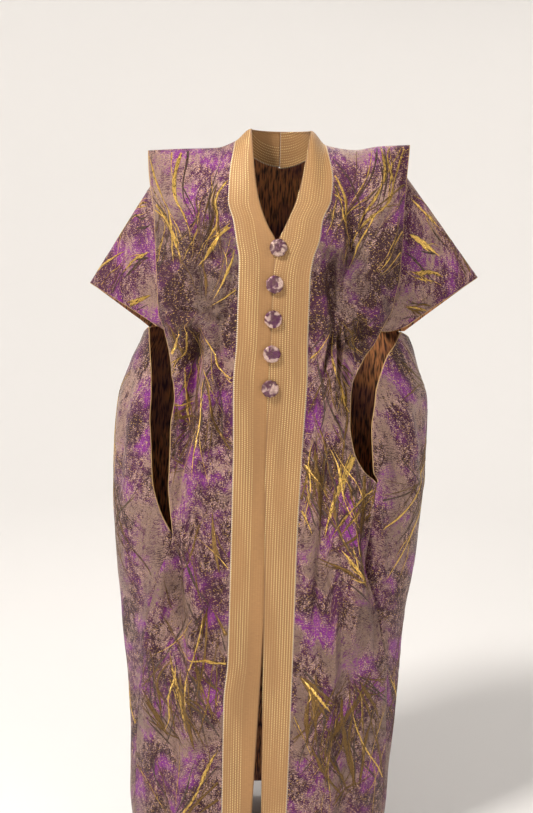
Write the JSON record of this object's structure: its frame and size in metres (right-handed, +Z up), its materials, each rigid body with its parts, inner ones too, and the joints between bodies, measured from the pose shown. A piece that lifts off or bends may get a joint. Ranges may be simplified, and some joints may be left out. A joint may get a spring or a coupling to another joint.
{
  "type": "grand boubou robe",
  "caption": "Wide brocade robe as worn, with square shoulder caps, folded short sleeves, arm slits and a V-necked front band closed by covered buttons.",
  "frame": {"origin": "on the shoulder line, midway between the two shoulder caps, where the wearer carries the robe", "axes": "+Z up, -Y out of the front, +X to the viewer's right"},
  "size_m": [0.8051, 0.3431, 1.5682],
  "materials": {
    "brocade": "stiff brocade, purple and taupe with gold branching metal thread",
    "band_cloth": "ribbed tan-gold band cloth with lengthwise gold thread lines",
    "button_cloth": "brocade gathered over a button mould"
  },
  "bodies": {
    "root": {"front_left": "brocade", "front_right": "brocade", "back": "brocade", "sleeve_left": "brocade", "sleeve_right": "brocade", "band_left": "band_cloth", "band_right": "band_cloth", "button_1": "button_cloth", "button_2": "button_cloth", "button_3": "button_cloth", "button_4": "button_cloth", "button_5": "button_cloth"}
  },
  "joints": []
}
